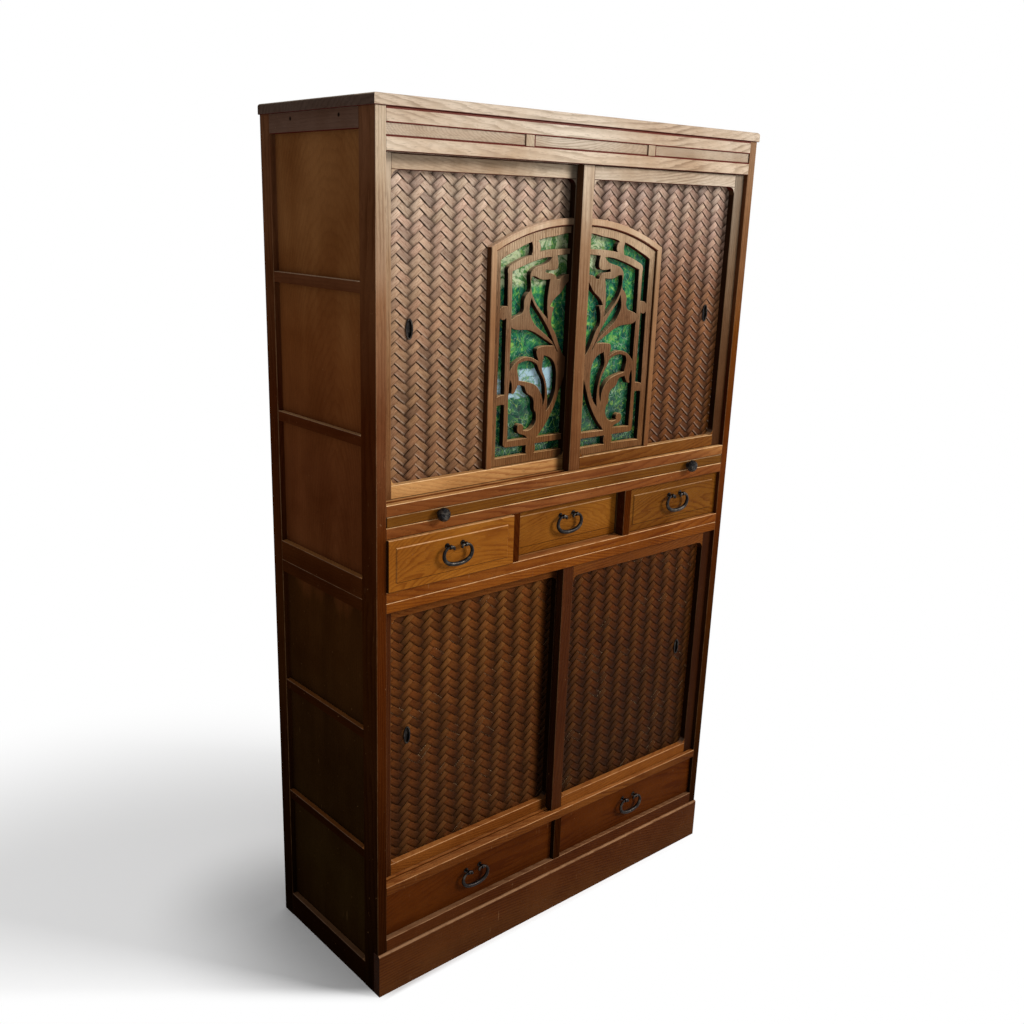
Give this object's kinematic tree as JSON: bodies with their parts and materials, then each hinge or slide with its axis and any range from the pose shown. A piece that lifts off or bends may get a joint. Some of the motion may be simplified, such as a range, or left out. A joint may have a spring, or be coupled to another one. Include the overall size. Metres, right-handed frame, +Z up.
{
  "type": "mizuya kitchen cabinet",
  "caption": "Tall two-section wooden kitchen cupboard with sliding woven-panel doors, an arched fretwork window, a pull-out board and drawers with drop handles.",
  "frame": {"origin": "centre of the overall bounding box at floor level, handles included", "axes": "+Z up, the doors and drawers face -Y, +X to the right seen from the front"},
  "size_m": [1.0148, 0.4038, 1.7485],
  "materials": {
    "sunned_wood": "worn matt, bleached by the sun towards the top",
    "amber_wood": "old satin lacquer",
    "dark_wood": "dark stain, satin",
    "inner_wood": "bare, aged",
    "woven_strip": "woven thin strips, satin",
    "green_glass": "mottled green art glass",
    "dark_iron": "blackened, worn"
  },
  "bodies": {
    "case": {"top_board": "sunned_wood", "upper_posts": "sunned_wood", "upper_front_rails": "sunned_wood", "front_dividers": "sunned_wood", "frieze_panels": "sunned_wood", "upper_side_rails": "dark_wood", "side_panels": "dark_wood", "back_panels": "inner_wood", "floor_boards": "inner_wood", "shelves": "inner_wood", "partitions": "inner_wood", "lower_posts": "dark_wood", "lower_front_rails": "dark_wood", "lower_side_rails": "dark_wood", "plinth": "dark_wood"},
    "upper_right_door": {"upper_right_door_stiles": "sunned_wood", "upper_right_door_rails": "sunned_wood", "upper_right_door_woven_panel": "woven_strip", "upper_right_door_pull": "dark_iron", "upper_right_door_arch_moulding": "sunned_wood", "upper_right_door_fretwork": "sunned_wood", "upper_right_door_glass": "green_glass"},
    "upper_left_door": {"upper_left_door_stiles": "sunned_wood", "upper_left_door_rails": "sunned_wood", "upper_left_door_woven_panel": "woven_strip", "upper_left_door_pull": "dark_iron", "upper_left_door_arch_moulding": "sunned_wood", "upper_left_door_fretwork": "sunned_wood", "upper_left_door_glass": "green_glass"},
    "lower_right_door": {"lower_right_door_stiles": "amber_wood", "lower_right_door_rails": "amber_wood", "lower_right_door_woven_panel": "woven_strip", "lower_right_door_pull": "dark_iron"},
    "lower_left_door": {"lower_left_door_stiles": "amber_wood", "lower_left_door_rails": "amber_wood", "lower_left_door_woven_panel": "woven_strip", "lower_left_door_pull": "dark_iron"},
    "board": {"pull_out_board": "amber_wood", "pull_out_board_knobs": "dark_iron"},
    "small_left_drawer": {"small_left_drawer_front": "amber_wood", "small_left_drawer_box": "inner_wood", "small_left_drawer_bail_posts": "dark_iron"},
    "small_left_bail": {"small_left_drawer_bail": "dark_iron"},
    "small_middle_drawer": {"small_middle_drawer_front": "amber_wood", "small_middle_drawer_box": "inner_wood", "small_middle_drawer_bail_posts": "dark_iron"},
    "small_middle_bail": {"small_middle_drawer_bail": "dark_iron"},
    "small_right_drawer": {"small_right_drawer_front": "amber_wood", "small_right_drawer_box": "inner_wood", "small_right_drawer_bail_posts": "dark_iron"},
    "small_right_bail": {"small_right_drawer_bail": "dark_iron"},
    "base_left_drawer": {"base_left_drawer_front": "dark_wood", "base_left_drawer_box": "inner_wood", "base_left_drawer_bail_posts": "dark_iron"},
    "base_left_bail": {"base_left_drawer_bail": "dark_iron"},
    "base_right_drawer": {"base_right_drawer_front": "dark_wood", "base_right_drawer_box": "inner_wood", "base_right_drawer_bail_posts": "dark_iron"},
    "base_right_bail": {"base_right_drawer_bail": "dark_iron"}
  },
  "joints": [
    {"name": "upper_right_door_slide", "type": "slide", "parent": "case", "child": "upper_right_door", "axis": [-1, 0, 0], "range_m": [0, 0.466]},
    {"name": "upper_left_door_slide", "type": "slide", "parent": "case", "child": "upper_left_door", "axis": [1, 0, 0], "range_m": [0, 0.466]},
    {"name": "lower_right_door_slide", "type": "slide", "parent": "case", "child": "lower_right_door", "axis": [-1, 0, 0], "range_m": [0, 0.466]},
    {"name": "lower_left_door_slide", "type": "slide", "parent": "case", "child": "lower_left_door", "axis": [1, 0, 0], "range_m": [0, 0.466]},
    {"name": "board_slide", "type": "slide", "parent": "case", "child": "board", "axis": [0, -1, 0], "range_m": [0, 0.25]},
    {"name": "small_left_drawer_slide", "type": "slide", "parent": "case", "child": "small_left_drawer", "axis": [0, -1, 0], "range_m": [-0.032, 0.232]},
    {"name": "small_left_bail_swing", "type": "hinge", "parent": "small_left_drawer", "child": "small_left_bail", "pos_m": [-0.32843, -0.1971, 0.95904], "axis": [-1, 0, 0], "range_deg": [0, 140]},
    {"name": "small_middle_drawer_slide", "type": "slide", "parent": "case", "child": "small_middle_drawer", "axis": [0, -1, 0], "range_m": [0, 0.264]},
    {"name": "small_middle_bail_swing", "type": "hinge", "parent": "small_middle_drawer", "child": "small_middle_bail", "pos_m": [0, -0.1651, 0.95904], "axis": [-1, 0, 0], "range_deg": [0, 140]},
    {"name": "small_right_drawer_slide", "type": "slide", "parent": "case", "child": "small_right_drawer", "axis": [0, -1, 0], "range_m": [-0.017, 0.247]},
    {"name": "small_right_bail_swing", "type": "hinge", "parent": "small_right_drawer", "child": "small_right_bail", "pos_m": [0.32843, -0.1821, 0.95904], "axis": [-1, 0, 0], "range_deg": [0, 140]},
    {"name": "base_left_drawer_slide", "type": "slide", "parent": "case", "child": "base_left_drawer", "axis": [0, -1, 0], "range_m": [-0.013, 0.251]},
    {"name": "base_left_bail_swing", "type": "hinge", "parent": "base_left_drawer", "child": "base_left_bail", "pos_m": [-0.24625, -0.1781, 0.1994], "axis": [-1, 0, 0], "range_deg": [0, 140]},
    {"name": "base_right_drawer_slide", "type": "slide", "parent": "case", "child": "base_right_drawer", "axis": [0, -1, 0], "range_m": [-0.015, 0.249]},
    {"name": "base_right_bail_swing", "type": "hinge", "parent": "base_right_drawer", "child": "base_right_bail", "pos_m": [0.24625, -0.1801, 0.1994], "axis": [-1, 0, 0], "range_deg": [0, 140]}
  ]
}
